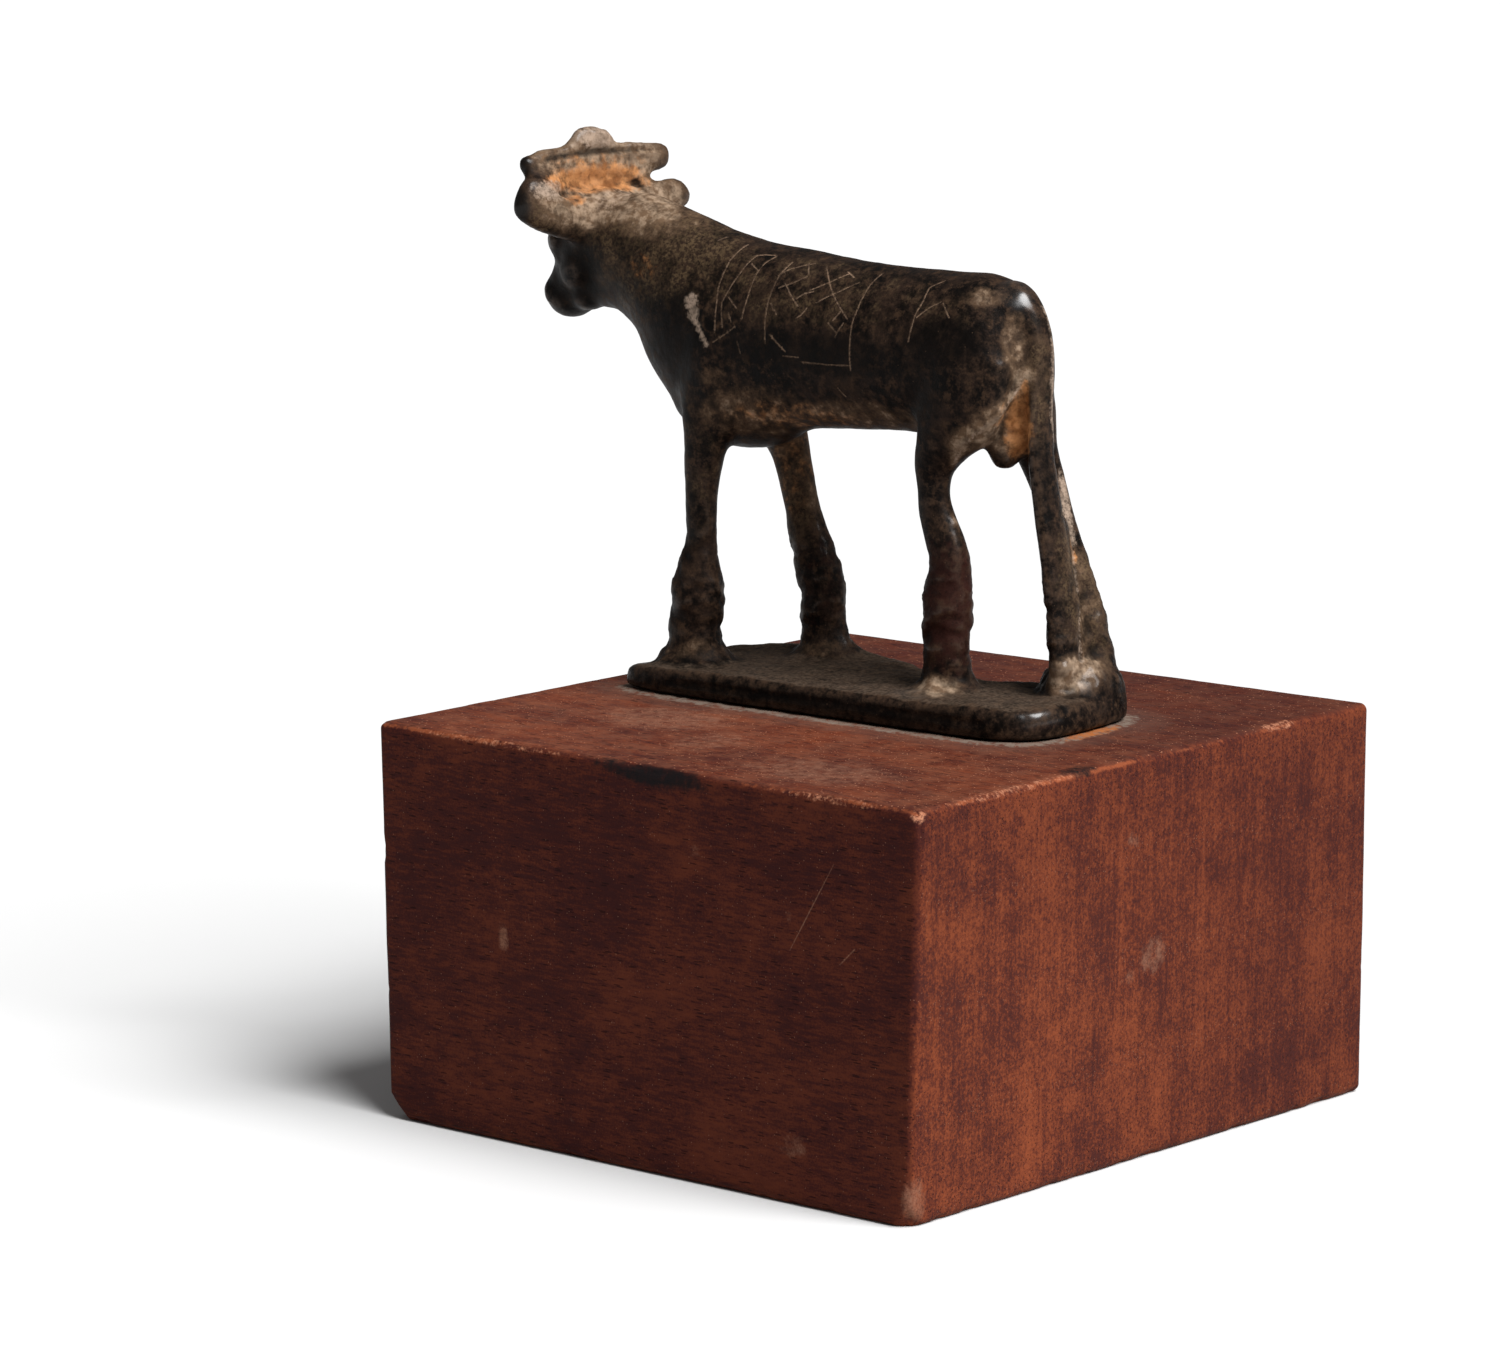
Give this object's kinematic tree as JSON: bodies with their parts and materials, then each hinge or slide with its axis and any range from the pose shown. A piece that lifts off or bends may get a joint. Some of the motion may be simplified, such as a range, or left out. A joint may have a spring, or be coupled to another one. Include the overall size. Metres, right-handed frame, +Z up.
{
  "type": "apis bull statuette",
  "caption": "Cast bronze striding bull with a broken disc between its horns, on a thin cast plate set on a hand-cut hardwood block.",
  "frame": {"origin": "middle of the wooden block's underside, on the surface that it stands on", "axes": "+Z up, +X the way the bull walks and faces, +Y the bull's left side"},
  "size_m": [0.0814, 0.07, 0.0949],
  "materials": {
    "patinated_bronze": "dark brown-black patina with tan and orange deposits, satin",
    "stained_hardwood": "old red-brown stain and wax, worn at the edges"
  },
  "bodies": {
    "root": {"bull_casting": "patinated_bronze", "wood_block": "stained_hardwood"}
  },
  "joints": []
}
